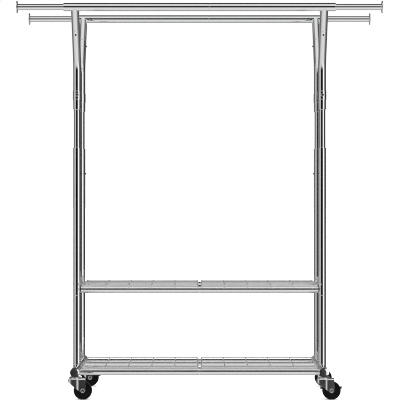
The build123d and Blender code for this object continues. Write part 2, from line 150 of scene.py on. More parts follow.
MATERIALS = {
    "chrome_tube": metal("chrome", (0.90, 0.905, 0.915), (0.93, 0.935, 0.94), 0.02, 0.05, 900.0, 0.01),
    "shelf_chrome": metal("satin_chrome", (0.88, 0.885, 0.89), (0.92, 0.925, 0.93), 0.14, 0.2, 1400.0, 0.05),
    "caster_steel": metal("bright_zinc", (0.86, 0.87, 0.88), (0.92, 0.925, 0.93), 0.13, 0.22, 700.0, 0.06),
    "button_steel": metal("button_steel", (0.58, 0.59, 0.60), (0.68, 0.69, 0.70), 0.05, 0.11, 1200.0, 0.05),
    "black_plastic": moulded(
        "black_plastic", (0.003, 0.003, 0.0033), (0.006, 0.006, 0.0065), 0.1, 0.16, 900.0, 0.03,
    ),
    "grey_plastic": moulded("grey_plastic", (0.42, 0.42, 0.42), (0.5, 0.5, 0.5), 0.35, 0.5, 900.0, 0.2),
    "dark_button": metal("dark_button", (0.04, 0.04, 0.042), (0.07, 0.07, 0.073), 0.08, 0.14, 1200.0, 0.04),
    "deck_wire": metal("deck_wire", (0.95, 0.95, 0.955), (0.98, 0.98, 0.98), 0.3, 0.4, 1400.0, 0.06),
    "wheel_black": moulded(
        "wheel_rubber", (0.0015, 0.0015, 0.0017), (0.003, 0.003, 0.0033), 0.34, 0.5, 1200.0, 0.2,
    ),
}
SLOT_OF = {part["node"]: part["material_slot"] for part in frame["record"]["subparts"]}
BODY_OF = {name: made["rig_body"] for name, made in NODES.items()}

for node_name, cad_piece in NODES.items():
    for index in range(len(cad_piece.data.materials)):
        cad_piece.data.materials[index] = MATERIALS[SLOT_OF[node_name]]


# ---------------------------------------------------------------- sizes

MM = 0.001
STEPS = 72                       # points round a large tube
FINE_STEPS = 32                  # points round a small part
LIP = 0.5 * MM                   # rounding on cut tube ends
SEAM_LIP = 1.3 * MM              # rounding where two outer tubes meet
WALL = 1.2 * MM
BASE_WALL = 1.5 * MM
BEAD_R = 0.9 * MM                # a small weld bead
SEAM_GAP = 0.4 * MM              # below an outer post's foot
SHARP_ANGLE = 38.0               # degrees between faces, above which an edge looks crisp
POST_LOW, POST_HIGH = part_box("outer_post_front_right")
TUBE_R = (POST_HIGH.y - POST_LOW.y) / 2
POST_X = POST_HIGH.x - TUBE_R
POST_Y = -(POST_HIGH.y + POST_LOW.y) / 2
RAIL_LOW, RAIL_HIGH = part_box("rail_front_right")
RAIL_Z = RAIL_HIGH.z - TUBE_R
RAIL_Y = -RAIL_LOW.y - TUBE_R
BORE_R = TUBE_R - WALL
SPIGOT_R = BORE_R - 0.1 * MM     # a tube's end, made narrower to plug into the next tube
BASE_LOW, BASE_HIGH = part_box("base_tube_right")
BASE_R = (BASE_HIGH.z - BASE_LOW.z) / 2
BASE_Z = (BASE_HIGH.z + BASE_LOW.z) / 2
SOCKET_R = 17.5 * MM
SOCKET_TIP_X = BASE_LOW.x
LOW_RIM_Y = 179.0 * MM
LOW_RIM_Z = 123.0 * MM
MID_RIM_Z = 503.6 * MM
X_AXIS = Vector((1.0, 0.0, 0.0))
Y_AXIS = Vector((0.0, 1.0, 0.0))
Z_AXIS = Vector((0.0, 0.0, 1.0))


# ---------------------------------------------------------------- mesh tools


def bridged(rings, closed):
    """Faces between rings of point numbers; a ring of one point closes to a tip."""
    faces = []
    pairs = list(zip(rings, rings[1:]))
    if closed:
        pairs.append((rings[-1], rings[0]))
    for first, second in pairs:
        count = max(len(first), len(second))
        for i in range(count):
            j = (i + 1) % count
            if len(first) == 1:
                faces.append((first[0], second[j], second[i]))
            elif len(second) == 1:
                faces.append((first[i], first[j], second[0]))
            else:
                faces.append((first[i], first[j], second[j], second[i]))
    return faces


def swept(stations, across, closed=False, steps=STEPS):
    """Rings along a line, from stations of (centre, direction, radius): the shape's (points, faces)."""
    points, rings = [], []
    for centre, direction, radius in stations:
        first = len(points)
        if radius < 0.001 * MM:
            points.append(centre.copy())
        else:
            up = direction.cross(across).normalized()
            for step in range(steps):
                angle = 2 * math.pi * step / steps
                points.append(centre + radius * (math.cos(angle) * across + math.sin(angle) * up))
        rings.append(list(range(first, len(points))))
    return points, bridged(rings, closed)


def lathe(profile, base, along, closed=False, steps=STEPS):
    """A profile of (radius, height) points turned about the line from base, along a direction."""
    along = Vector(along).normalized()
    stations = [(Vector(base) + along * height, along, radius) for radius, height in profile]
    return swept(stations, along.orthogonal().normalized(), closed, steps)


def eased(corners, count=4, closed=False):
    """A 2-D outline with its corners rounded; a corner is (a, b) or (a, b, rounding)."""
    outline = []
    for number, corner in enumerate(corners):
        here = Vector(corner[:2])
        inside = closed or 0 < number < len(corners) - 1
        if len(corner) < 3 or not inside:
            outline.append(here)
            continue
        before = Vector(corners[number - 1][:2]) - here
        after = Vector(corners[(number + 1) % len(corners)][:2]) - here
        reach = corner[2] / math.tan(before.angle(after) / 2)
        start = here + before.normalized() * min(reach, 0.49 * before.length)
        end = here + after.normalized() * min(reach, 0.49 * after.length)
        for step in range(count + 1):
            t = step / count
            outline.append((1 - t) ** 2 * start + 2 * t * (1 - t) * here + t * t * end)
    return outline


def pipe(start, end, outer, inner, lip=LIP, steps=STEPS):
    """A tube between two points, with eased ends."""
    start, end = Vector(start), Vector(end)
    length = (end - start).length
    corners = [(inner, 0, lip / 2), (outer, 0, lip), (outer, length, lip), (inner, length, lip / 2)]
    return lathe(eased(corners, 3, True), start, end - start, True, steps)


def bar(start, end, radius, lip, steps=FINE_STEPS):
    """A solid round bar between two points, with rounded ends."""
    start, end = Vector(start), Vector(end)
    length = (end - start).length
    corners = [(0, 0), (radius, 0, lip), (radius, length, lip), (0, length)]
    return lathe(eased(corners), start, end - start, False, steps)


def prism(outline, low, high):
    """A flat outline of (x, y) points, given thickness from low to high."""
    count = len(outline)
    points = [Vector((x, y, z)) for z in (low, high) for x, y in outline]
    sides = [(i, (i + 1) % count, count + (i + 1) % count, count + i) for i in range(count)]
    return points, sides + [tuple(range(count))[::-1], tuple(range(count, 2 * count))]


def moved(shape, x, y, z):
    """A shape carried to another place."""
    offset = Vector((x, y, z))
    return [point + offset for point in shape[0]], shape[1]


def joined(shapes):
    """Several shapes as one."""
    points, faces = [], []
    for some_points, some_faces in shapes:
        first = len(points)
        points += [tuple(point) for point in some_points]
        faces += [tuple(first + index for index in face) for face in some_faces]
    return points, faces


def piece(name, node, shapes, material=None, sharp=SHARP_ANGLE):
    """One mesh piece that stands for a CAD node: smooth, with crisp edges, riding on the node's body."""
    points, faces = joined(shapes)
    mesh = bpy.data.meshes.new(name)
    mesh.from_pydata(points, [], faces)
    work = bmesh.new()
    work.from_mesh(mesh)
    bmesh.ops.remove_doubles(work, verts=work.verts, dist=0.002 * MM)
    bmesh.ops.recalc_face_normals(work, faces=work.faces)
    work.to_mesh(mesh)
    work.free()
    mesh.shade_smooth()
    mesh.set_sharp_from_angle(angle=math.radians(sharp))
    mesh.materials.append(material or MATERIALS[SLOT_OF[node]])
    made = bpy.data.objects.new(name, mesh)
    bpy.context.scene.collection.objects.link(made)
    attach(made, BODY_OF[node])
    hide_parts(node)
    return made


def keep_flats_flat(made):
    """Large faces decide the normals, so small eased edges don't bend the reflections beside them."""
    fix = made.modifiers.new("weighted_normals", "WEIGHTED_NORMAL")
    fix.weight = 100
    fix.keep_sharp = True
    return made


def ease_edges(made, width, angle=40.0):
    """Rounds the sharp edges of a pressed or cut part."""
    bevel = made.modifiers.new("eased_edges", "BEVEL")
    bevel.width = width
    bevel.segments = 2
    bevel.limit_method = "ANGLE"
    bevel.angle_limit = math.radians(angle)
    return keep_flats_flat(made)


def drilled(made, holes, walls):
    """Cuts round holes, each (start, end, radius), and gives the tube's walls their exact round normals.

    A wall is (point on its axis, direction, radii).
    """
    cutters = bpy.data.meshes.new("cutters")
    points, faces = joined([bar(start, end, radius, 0.01 * MM) for start, end, radius in holes])
    cutters.from_pydata(points, [], faces)
    cutter = bpy.data.objects.new("cutter", cutters)
    bpy.context.scene.collection.objects.link(cutter)
    cut = made.modifiers.new("holes", "BOOLEAN")
    cut.object = cutter
    cut.solver = "EXACT"
    bpy.context.view_layer.update()
    result = bpy.data.meshes.new_from_object(made.evaluated_get(bpy.context.evaluated_depsgraph_get()))
    made.modifiers.clear()
    made.data = result
    bpy.data.objects.remove(cutter)
    result.set_sharp_from_angle(angle=math.radians(SHARP_ANGLE))
    normals = [corner.vector.copy() for corner in result.corner_normals]
    for polygon in result.polygons:
        for index in polygon.loop_indices:
            for axis_point, axis, radii in walls:
                away = result.vertices[result.loops[index].vertex_index].co - axis_point
                away -= away.dot(axis) * axis
                facing = polygon.normal.dot(away.normalized())
                if abs(facing) > 0.99 and min(abs(away.length - radius) for radius in radii) < 0.02 * MM:
                    normals[index] = away.normalized() * math.copysign(1.0, facing)
    result.normals_split_custom_set(normals)
    return made


def bead(line, radius):
    """A thin weld bead along a closed line of points."""
    count = len(line)
    sides = 8
    points, rings = [], []
    centre = sum(line, Vector()) / count
    for number, point in enumerate(line):
        direction = (line[(number + 1) % count] - line[number - 1]).normalized()
        outward = (point - centre).normalized()
        up = direction.cross(outward).normalized()
        outward = up.cross(direction).normalized()
        first = len(points)
        for step in range(sides):
            angle = 2 * math.pi * step / sides
            points.append(point + radius * (math.cos(angle) * outward + math.sin(angle) * up))
        rings.append(list(range(first, len(points))))
    return points, bridged(rings, True)


def saddle_line(centre, branch, main, branch_r, main_r, count=64):
    """Where a branch tube meets a main tube at right angles: a closed line of points."""
    third = branch.cross(main).normalized()
    line = []
    for step in range(count):
        angle = 2 * math.pi * step / count
        aside = branch_r * math.sin(angle)
        reach = math.sqrt(max(main_r ** 2 - aside ** 2, 0.0))
        line.append(centre + branch * reach + main * branch_r * math.cos(angle) + third * aside)
    return line


# ---------------------------------------------------------------- base and posts


def base_tube(side):
    """A front-to-back tube, its two shelf sockets and the weld beads under the posts."""
    x = side * POST_X
    shapes = [pipe((x, BASE_LOW.y, BASE_Z), (x, BASE_HIGH.y, BASE_Z), BASE_R, BASE_R - BASE_WALL)]
    for y in (-LOW_RIM_Y, LOW_RIM_Y):
        shapes.append(pipe((x, y, LOW_RIM_Z), (side * SOCKET_TIP_X, y, LOW_RIM_Z), SOCKET_R, SOCKET_R - WALL))
        root = Vector((x, y, LOW_RIM_Z))
        shapes.append(bead(saddle_line(root, -side * X_AXIS, Y_AXIS, SOCKET_R, BASE_R - 0.4 * MM), BEAD_R))
    for front in (-1, 1):
        root = Vector((x, front * POST_Y, BASE_Z))
        shapes.append(bead(saddle_line(root, Z_AXIS, Y_AXIS, TUBE_R, BASE_R), 1.1 * MM))
    name = "right" if side > 0 else "left"
    keep_flats_flat(piece(f"base_tube_{name}_mesh", f"base_tube_{name}", shapes))


def end_plug(corner, side, front):
    """A domed plug with a thin rim that sits on the base tube's end."""
    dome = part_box("base_end_plugs")[1].y - BASE_HIGH.y
    depth = 14.0 * MM
    rim_t = 1.2 * MM
    stem_r = BASE_R - 1.55 * MM
    profile = eased([(0, -depth), (stem_r, -depth, 1.0 * MM), (stem_r, 0)])
    profile += eased([(stem_r, 0), (BASE_R, 0, 0.4 * MM), (BASE_R, rim_t)])
    rim_r = BASE_R - 0.25 * MM
    for step in range(13):
        angle = math.pi / 2 * step / 12
        profile.append((rim_r * math.cos(angle), rim_t + (dome - rim_t) * math.sin(angle)))
    base = (side * POST_X, front * BASE_HIGH.y, BASE_Z)
    piece(f"end_plug_{corner}", "base_end_plugs", [lathe(profile, base, (0, front, 0))])


def lower_post(corner, side, front):
    """A post from inside the base tube to its seam, with the swaged spigot above."""
    low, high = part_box(f"lower_post_{corner}")
    seam = POST_LOW.z - SEAM_GAP - low.z
    top = high.z - low.z
    corners = [
        (SPIGOT_R - WALL, 0), (TUBE_R, 0), (TUBE_R, seam, SEAM_LIP), (SPIGOT_R, seam, LIP),
        (SPIGOT_R, top, LIP), (SPIGOT_R - WALL, top, LIP),
    ]
    base = (side * POST_X, front * POST_Y, low.z)
    shape = lathe(eased(corners, 3, True), base, Z_AXIS, True)
    keep_flats_flat(piece(f"lower_post_{corner}_mesh", f"lower_post_{corner}", [shape]))


HOLE_TOP_Z = 1047.0 * MM
HOLE_PITCH = 25.0 * MM
HOLE_COUNT = 7
HOLE_R = 4.2 * MM
BUTTON_PLAY = 0.2 * MM           # round a button in its hole
CUT_START, CUT_END = 8, 24       # how far from a tube's axis a hole's cutter reaches, in millimetres


def outer_post(corner, side, front):
    """An outer post with its row of height holes and the socket for the middle shelf."""
    x, y = side * POST_X, front * POST_Y
    node = f"outer_post_{corner}"
    shape = pipe((x, y, POST_LOW.z), (x, y, POST_HIGH.z), TUBE_R, BORE_R, SEAM_LIP)
    tube = piece(f"{node}_mesh", node, [shape])
    holes = []
    for number in range(HOLE_COUNT):
        z = HOLE_TOP_Z - number * HOLE_PITCH
        holes.append(((x - side * CUT_START * MM, y, z), (x - side * CUT_END * MM, y, z), HOLE_R))
    drilled(tube, holes, [(Vector((x, y, 0)), Z_AXIS, (TUBE_R, BORE_R))])
    root = Vector((x, y, MID_RIM_Z))
    start = (x - side * (TUBE_R - 1.0 * MM), y, MID_RIM_Z)
    socket = [pipe(start, (side * SOCKET_TIP_X, y, MID_RIM_Z), SOCKET_R, SOCKET_R - WALL)]
    socket.append(bead(saddle_line(root, -side * X_AXIS, Z_AXIS, SOCKET_R, TUBE_R), BEAD_R))
    keep_flats_flat(piece(f"shelf_socket_{corner}", node, socket))


# ---------------------------------------------------------------- arms and rails

BEND_Z = 1556.0 * MM
BEND_RADIUS = 120.0 * MM
SPLAY = math.atan2(RAIL_Y - POST_Y, RAIL_Z - BEND_Z)
SHANK_R = 15.9 * MM
SHOULDER_Z = 1343.0 * MM
SHOULDER_RISE = 5.0 * MM
SHOULDER_STEP = 1.2 * MM          # height of the crisp step at the top of the shoulder
ARM_SEAM_Z = {-1: 1712.0 * MM, 1: 1697.0 * MM}
SNAP_Z = {-1: 1698.0 * MM, 1: 1672.0 * MM}
SPIGOT_LENGTH = 60.0 * MM
LOCK_SCREW_X = 540.0 * MM


def arm_line(side, front):
    """The bend's centreline as (point, direction) pairs, the centre of the arm's seam, and the way up."""
    x, y = side * POST_X, front * POST_Y
    reach = BEND_RADIUS * math.tan(SPLAY / 2)
    line = [(Vector((x, y, BEND_Z - reach)), Z_AXIS)]
    for step in range(1, 17):
        angle = SPLAY * step / 16
        aside = BEND_RADIUS * (1 - math.cos(angle))
        rise = BEND_Z - reach + BEND_RADIUS * math.sin(angle)
        direction = Vector((0, front * math.sin(angle), math.cos(angle)))
        line.append((Vector((x, y + front * aside, rise)), direction))
    up = line[-1][1]
    seam_z = ARM_SEAM_Z[front]
    seam = Vector((x, front * (POST_Y + (seam_z - BEND_Z) * math.tan(SPLAY)), seam_z))
    return line, seam, up


def button_places(corner, side, front):
    """Where an arm's buttons sit: (node, point on the tube's centreline, direction they face, radius)."""
    x, y = side * POST_X, front * POST_Y
    inward = Vector((-side, 0, 0))
    snap_z = SNAP_Z[front]
    snap = Vector((x, front * (POST_Y + (snap_z - BEND_Z) * math.tan(SPLAY)), snap_z))
    snap_facing = Vector((0, -math.cos(SPLAY), -math.sin(SPLAY))) if front < 0 else inward
    low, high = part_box(f"collar_button_{corner}")
    collar = Vector((x, y, (low.z + high.z) / 2))
    return (
        (f"height_button_{corner}", Vector((x, y, HOLE_TOP_Z)), inward, 4.0 * MM),
        (f"snap_button_{corner}", snap, snap_facing, 4.0 * MM),
        (f"collar_button_{corner}", collar, Vector((0, front, 0)), 7.5 * MM),
    )


def arm(corner, side, front):
    """An arm: swaged shank, eased shoulder, bend and splay, up to its seam."""
    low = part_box(f"arm_{corner}")[0]
    line, seam, up = arm_line(side, front)
    foot = Vector((side * POST_X, front * POST_Y, 0))

    def wall(shank_r, tube_r, lip):
        corners = [
            (shank_r, low.z + lip), (shank_r, SHOULDER_Z + SHOULDER_RISE - SHOULDER_STEP, 0.4 * MM),
            (tube_r, SHOULDER_Z + SHOULDER_RISE, 0.4 * MM), (tube_r, line[0][0].z),
        ]
        run = [(foot + Z_AXIS * height, Z_AXIS, radius) for radius, height in eased(corners, 6)]
        run += [(point, direction, tube_r) for point, direction in line[1:]]
        return run + [(seam - up * lip, up, tube_r)]

    stations = wall(SHANK_R, TUBE_R, LIP)
    stations.append((seam, up, TUBE_R - LIP))
    stations.append((seam, up, BORE_R))
    stations += wall(SHANK_R - WALL, BORE_R, 0.0)[::-1]
    stations.append((foot + Z_AXIS * low.z, Z_AXIS, SHANK_R - LIP))
    node = f"arm_{corner}"
    tube = piece(f"{node}_mesh", node, [swept(stations, X_AXIS, True)])
    holes = [
        (centre + facing * CUT_START * MM, centre + facing * CUT_END * MM, radius + BUTTON_PLAY)
        for _, centre, facing, radius in button_places(corner, side, front)
    ]
    straight = (foot, Z_AXIS, (SHANK_R, SHANK_R - WALL, TUBE_R, BORE_R))
    drilled(tube, holes, [straight, (seam, up, (TUBE_R, BORE_R))])


def arm_collar(corner, side, front):
    """The ring on an arm, with a shallow groove near each end."""
    low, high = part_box("arm_collars")
    radius = high.y - POST_Y
    height = high.z - low.z
    groove = 0.35 * MM
    inner_r = TUBE_R + 0.05 * MM
    corners = [(inner_r, 0), (radius, 0, 0.9 * MM)]
    for start in (4.0 * MM, height - 5.2 * MM):
        corners += [
            (radius, start, 0.2 * MM), (radius - groove, start + 0.2 * MM, 0.2 * MM),
            (radius - groove, start + 1.0 * MM, 0.2 * MM), (radius, start + 1.2 * MM, 0.2 * MM),
        ]
    corners += [(radius, height, 0.9 * MM), (inner_r, height)]
    base = Vector((side * POST_X, front * POST_Y, low.z))
    shape = lathe(eased(corners, 3, True), base, Z_AXIS, True)
    ring = piece(f"arm_collar_{corner}", "arm_collars", [shape])
    middle, facing, button_r = button_places(corner, side, front)[2][1:]
    hole = (middle + facing * 12 * MM, middle + facing * 30 * MM, button_r + BUTTON_PLAY)
    drilled(ring, [hole], [(base, Z_AXIS, (radius,))])


def rail(corner, side, front):
    """Half a rail, its splayed stub with the spigot, and the weld bead where they meet."""
    low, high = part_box(f"rail_{corner}")
    y = front * RAIL_Y
    ends = (low.x, high.x) if side > 0 else (high.x, low.x)
    shapes = [pipe((ends[0], y, RAIL_Z), (ends[1], y, RAIL_Z), TUBE_R, BORE_R, SEAM_LIP)]
    _, seam, up = arm_line(side, front)
    centre = Vector((side * POST_X, y, RAIL_Z))
    length = (centre - seam).length
    gap = 0.8 * MM
    corners = [
        (SPIGOT_R - WALL, -SPIGOT_LENGTH, LIP), (SPIGOT_R, -SPIGOT_LENGTH, LIP), (SPIGOT_R, gap, LIP),
        (TUBE_R, gap, LIP), (TUBE_R, length), (SPIGOT_R - WALL, length),
    ]
    shapes.append(lathe(eased(corners, 3, True), seam, up, True))
    third = up.cross(X_AXIS).normalized()
    weld_line = []
    for step in range(STEPS):
        angle = 2 * math.pi * step / STEPS
        reach = TUBE_R * abs(math.cos(angle)) + 0.4 * MM
        weld_line.append(centre - up * reach + TUBE_R * (math.cos(angle) * X_AXIS + math.sin(angle) * third))
    shapes.append(bead(weld_line, BEAD_R))
    keep_flats_flat(piece(f"rail_{corner}_mesh", f"rail_{corner}", shapes))


def extension(corner, side, front):
    """A sliding extension with its pressed end disc and the weld where they meet."""
    node = f"rail_extension_{corner}"
    low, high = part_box(node)
    disc_r = (high.z - low.z) / 2
    y = front * RAIL_Y
    inner_x, tip_x = (low.x, high.x) if side > 0 else (high.x, low.x)
    tube_r = 14.0 * MM
    disc_t = 4.0 * MM
    shapes = [pipe((inner_x, y, RAIL_Z), (tip_x - side * disc_t, y, RAIL_Z), tube_r, tube_r - WALL)]
    corners = [
        (0, 0), (tube_r + 1.6 * MM, 0, 0.6 * MM), (disc_r, 0.3 * MM, 1.2 * MM), (disc_r, disc_t, 1.6 * MM),
        (disc_r - 5.2 * MM, disc_t, 0.3 * MM), (disc_r - 5.6 * MM, disc_t - 0.5 * MM, 0.3 * MM),
        (disc_r - 6.4 * MM, disc_t - 0.5 * MM, 0.3 * MM), (disc_r - 6.8 * MM, disc_t, 0.3 * MM), (0, disc_t),
    ]
    base = (tip_x - side * disc_t, y, RAIL_Z)
    shapes.append(lathe(eased(corners), base, (side, 0, 0)))
    weld = [(tube_r - 0.2 * MM, -2.0 * MM), (tube_r + 0.7 * MM, -0.9 * MM), (tube_r + 1.8 * MM, 0.2 * MM)]
    shapes.append(lathe(weld, base, (side, 0, 0)))
    keep_flats_flat(piece(f"{node}_mesh", node, shapes))


def lock_screw(corner, side, front):
    """A button-head screw with a round socket, on the rail's inward face."""
    inward = -front
    seat = Vector((side * LOCK_SCREW_X, front * RAIL_Y + inward * (TUBE_R - 0.3 * MM), RAIL_Z))
    head_t = 2.8 * MM
    socket_floor = head_t - 1.5 * MM
    corners = [
        (3.0 * MM, -4.0 * MM), (3.0 * MM, 0), (5.0 * MM, 0, 0.2 * MM), (4.9 * MM, 0.9 * MM, 1.0 * MM),
        (3.4 * MM, head_t, 0.6 * MM), (1.7 * MM, head_t), (1.7 * MM, socket_floor), (0, socket_floor),
    ]
    shape = lathe(eased(corners), seat, (0, inward, 0), False, FINE_STEPS)
    piece(f"lock_screw_{corner}", "rail_lock_screws", [shape])


def button(node, point, facing, radius, tip, flange_r, depth, material):
    """A spring or push button: a pin with an eased tip, and a flange inside the tube at a depth."""
    flange_t = 1.5 * MM
    corners = [
        (0, -depth - flange_t), (flange_r, -depth - flange_t, 0.4 * MM), (flange_r, -depth, 0.4 * MM),
        (radius, -depth), (radius, tip - radius * 0.28, radius * 0.12), (radius * 0.66, tip, radius * 0.15),
        (0, tip),
    ]
    shape = lathe(eased(corners, 6), point, facing, False, FINE_STEPS)
    piece(f"{node}_mesh", node, [shape], MATERIALS[material])


def arm_buttons(corner, side, front):
    """The three buttons on an arm: height button, snap button and the collar's round button."""
    height, snap, collar = button_places(corner, side, front)
    proud, flange_r = 3.5 * MM, 5.5 * MM
    for (node, centre, facing, radius), depth in ((height, 6.0 * MM), (snap, 4.0 * MM)):
        button(node, centre + facing * TUBE_R, facing, radius, proud, flange_r, depth, "dark_button")
    node, centre, facing, radius = collar
    face = centre + facing * (TUBE_R + 1.6 * MM)
    proud, flange_r, depth = 2.5 * MM, 9.0 * MM, 7.0 * MM
    button(node, face, facing, radius, proud, flange_r, depth, "button_steel")


# ---------------------------------------------------------------- shelves


def shelf(level, side, rim_y, rim_z, long_rows):
    """Half a shelf: two satin rim tubes, and the welded wire deck that lies on them."""
    name = "right" if side > 0 else "left"
    node = f"shelf_{level}_{name}"
    low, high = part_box(node)
    inner_x = 4.5 * MM
    rim_end = 547.0 * MM
    rims = [
        pipe((side * inner_x, y, rim_z), (side * rim_end, y, rim_z), TUBE_R, BORE_R, 0.7 * MM)
        for y in (-rim_y, rim_y)
    ]
    keep_flats_flat(piece(f"{node}_rims", node, rims))
    frame_r, cross_r, long_r = 3.0 * MM, 2.3 * MM, 1.6 * MM
    wire_z = rim_z + TUBE_R + 2.1 * MM
    outer_x = (high.x if side > 0 else -low.x) - frame_r
    edge_y = high.y - frame_r
    near_x = 9.0 * MM
    corner_r = 9.0 * MM
    line = []
    for cx, cy, turn in (
        (outer_x - corner_r, edge_y - corner_r, 0), (near_x + corner_r, edge_y - corner_r, 90),
        (near_x + corner_r, -edge_y + corner_r, 180), (outer_x - corner_r, -edge_y + corner_r, 270),
    ):
        for step in range(9):
            angle = math.radians(turn + 90 * step / 8)
            at = Vector((side * (cx + corner_r * math.cos(angle)), cy + corner_r * math.sin(angle), wire_z))
            line.append((at, Vector((-side * math.sin(angle), math.cos(angle), 0)), frame_r))
    shapes = [swept(line, Z_AXIS, True, 20)]
    cross_wires = 4
    pitch = (outer_x - near_x) / (cross_wires + 1)
    crossings = [side * (near_x + number * pitch) for number in range(1, cross_wires + 1)]
    for x in crossings:
        shapes.append(bar((x, -edge_y, wire_z), (x, edge_y, wire_z), cross_r, 0.5 * MM, 20))
    long_z = wire_z - cross_r - long_r + 0.2 * MM
    nugget = [(0, -1.5 * MM), (1.6 * MM, -0.9 * MM), (2.1 * MM, 0), (1.6 * MM, 0.9 * MM), (0, 1.5 * MM)]
    for y in long_rows:
        shapes.append(bar((side * near_x, y, long_z), (side * outer_x, y, long_z), long_r, 0.5 * MM, 16))
        for x in crossings:
            shapes.append(lathe(nugget, (x, y, long_z + long_r), Z_AXIS, False, 10))
    piece(f"{node}_deck", node, shapes, MATERIALS["deck_wire"])


# ---------------------------------------------------------------- casters

WHEEL_LOW, WHEEL_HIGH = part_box("caster_wheel_front_right")
WHEEL_R = (WHEEL_HIGH.z - WHEEL_LOW.z) / 2
HUB_HALF = (WHEEL_HIGH.y - WHEEL_LOW.y) / 2
AXLE_X = (WHEEL_HIGH.x + WHEEL_LOW.x) / 2
AXLE_Z = (WHEEL_HIGH.z + WHEEL_LOW.z) / 2
CASTER_Y = -(WHEEL_HIGH.y + WHEEL_LOW.y) / 2
TRAIL = AXLE_X - POST_X
WHEEL_HALF = 10.5 * MM
FORK_LOW, FORK_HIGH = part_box("caster_fork_front_right")
FORK_TOP_Z = FORK_HIGH.z
FORK_NOSE_X = FORK_LOW.x - POST_X
FORK_HALF = 18.5 * MM
NOSE_HALF = 13.6 * MM
NOSE_LENGTH = 20.0 * MM
STEP_X = (4.0 * MM, 18.0 * MM)
EYE_R = 12.5 * MM


def wheel(corner, side, front):
    """A moulded wheel: rounded tread with a parting line, stepped sides, a dished web and a hub."""
    half = [
        (5.9 * MM, HUB_HALF), (12.0 * MM, HUB_HALF, 1.0 * MM), (12.8 * MM, WHEEL_HALF - 2.5 * MM, 2.0 * MM),
        (28.6 * MM, WHEEL_HALF - 2.5 * MM, 1.6 * MM), (30.2 * MM, WHEEL_HALF - 0.2 * MM, 0.8 * MM),
        (34.8 * MM, WHEEL_HALF - 0.2 * MM, 0.2 * MM), (35.2 * MM, WHEEL_HALF - 0.7 * MM, 0.2 * MM),
        (35.8 * MM, WHEEL_HALF - 0.7 * MM, 0.2 * MM), (36.2 * MM, WHEEL_HALF, 0.3 * MM),
        (WHEEL_R, WHEEL_HALF, 5.0 * MM), (WHEEL_R, 0.5 * MM),
    ]
    outer = eased(half, 7)
    mirrored = [(radius, -height) for radius, height in outer[::-1]]
    groove = [(WHEEL_R - 0.25 * MM, 0.2 * MM), (WHEEL_R - 0.25 * MM, -0.2 * MM)]
    centre = (side * POST_X + TRAIL, front * CASTER_Y, AXLE_Z)
    shape = lathe([tuple(point) for point in outer] + groove + mirrored, centre, Y_AXIS, True, 96)
    keep_flats_flat(piece(f"wheel_{corner}", f"caster_wheel_{corner}", [shape], None, 30.0))


def fork_low(x):
    """The fork's lower edge at a distance from the kingpin: a slant down to the round axle eye."""
    nose = Vector((FORK_NOSE_X - 1.0 * MM, 82.0 * MM))
    eye = Vector((TRAIL, AXLE_Z))
    away = eye - nose
    angle = math.atan2(away.y, away.x) - math.asin(EYE_R / away.length)
    slant = nose.y + (x - nose.x) * math.tan(angle)
    touch = nose.x + math.sqrt(away.length ** 2 - EYE_R ** 2) * math.cos(angle)
    if x < touch:
        return slant
    return AXLE_Z - math.sqrt(max(EYE_R ** 2 - (x - TRAIL) ** 2, 0.0))


def fork_plan():
    """The fork's plan from one tail round the nose to the other: (point, the point on its spine)."""
    leg = [TRAIL + EYE_R * math.cos(math.radians(7.5 * step)) for step in range(17)]
    leg += [STEP_X[1] - (STEP_X[1] - STEP_X[0]) * step / 10 for step in range(11)]
    leg += [-3.0 * MM, -8.0 * MM]
    side = []
    for x in leg:
        share = min(max((x - STEP_X[0]) / (STEP_X[1] - STEP_X[0]), 0.0), 1.0)
        side.append((x, NOSE_HALF + (FORK_HALF - NOSE_HALF) * share * share * (3 - 2 * share)))
    nose_x = FORK_NOSE_X + NOSE_LENGTH
    plan = [((x, y), (x, 0.0)) for x, y in side]
    for step in range(25):
        angle = math.pi / 2 + math.pi * step / 24
        plan.append(((nose_x + NOSE_LENGTH * math.cos(angle), NOSE_HALF * math.sin(angle)), (nose_x, 0.0)))
    plan += [((x, -y), (x, 0.0)) for x, y in side[::-1]]
    return plan


def fork(corner, side, front):
    """A pressed steel fork: one sheet bent over a rounded crown, round the nose and down both legs."""
    thickness = 2.2 * MM
    bend = 8.0 * MM
    top = FORK_TOP_Z - 1.0 * MM
    rows = []
    points = []
    for (px, py), (sx, sy) in fork_plan():
        inward = Vector((sx - px, sy - py))
        width = inward.length
        inward.normalize()
        low = fork_low(px)
        column = [(0.0, low + (top - bend - low) * step / 6) for step in range(7)]
        for step in range(1, 9):
            angle = math.pi / 2 * step / 8
            column.append((bend * (1 - math.cos(angle)), top - bend + bend * math.sin(angle)))
        column.append((width, top))
        first = len(points)
        for inset, z in column:
            points.append(Vector((px + inward.x * inset, py + inward.y * inset, z)))
        rows.append(list(range(first, len(points))))
    faces = []
    for first, second in zip(rows, rows[1:]):
        for i in range(len(first) - 1):
            faces.append((first[i], second[i], second[i + 1], first[i + 1]))
    node = f"caster_fork_{corner}"
    shape = moved((points, faces), side * POST_X, front * CASTER_Y, 0)
    sheet = piece(f"{node}_mesh", node, [shape], None, 60.0)
    thick = sheet.modifiers.new("sheet_steel", "SOLIDIFY")
    thick.thickness = thickness
    thick.offset = -1.0
    ease_edges(sheet, 0.5 * MM, 50.0)
    crown_r = 27.5 * MM
    corners = [
        (6.1 * MM, -3.6 * MM), (crown_r - 1.5 * MM, -3.6 * MM, 0.8 * MM), (crown_r, -3.0 * MM, 1.2 * MM),
        (crown_r, 0, 1.0 * MM), (20.0 * MM, 0), (19.0 * MM, -0.6 * MM, 0.4 * MM), (6.1 * MM, -0.6 * MM),
    ]
    base = (side * POST_X, front * CASTER_Y, FORK_TOP_Z)
    crown = lathe(eased(corners, 4, True), base, Z_AXIS, True)
    keep_flats_flat(piece(f"caster_crown_{corner}", node, [crown]))


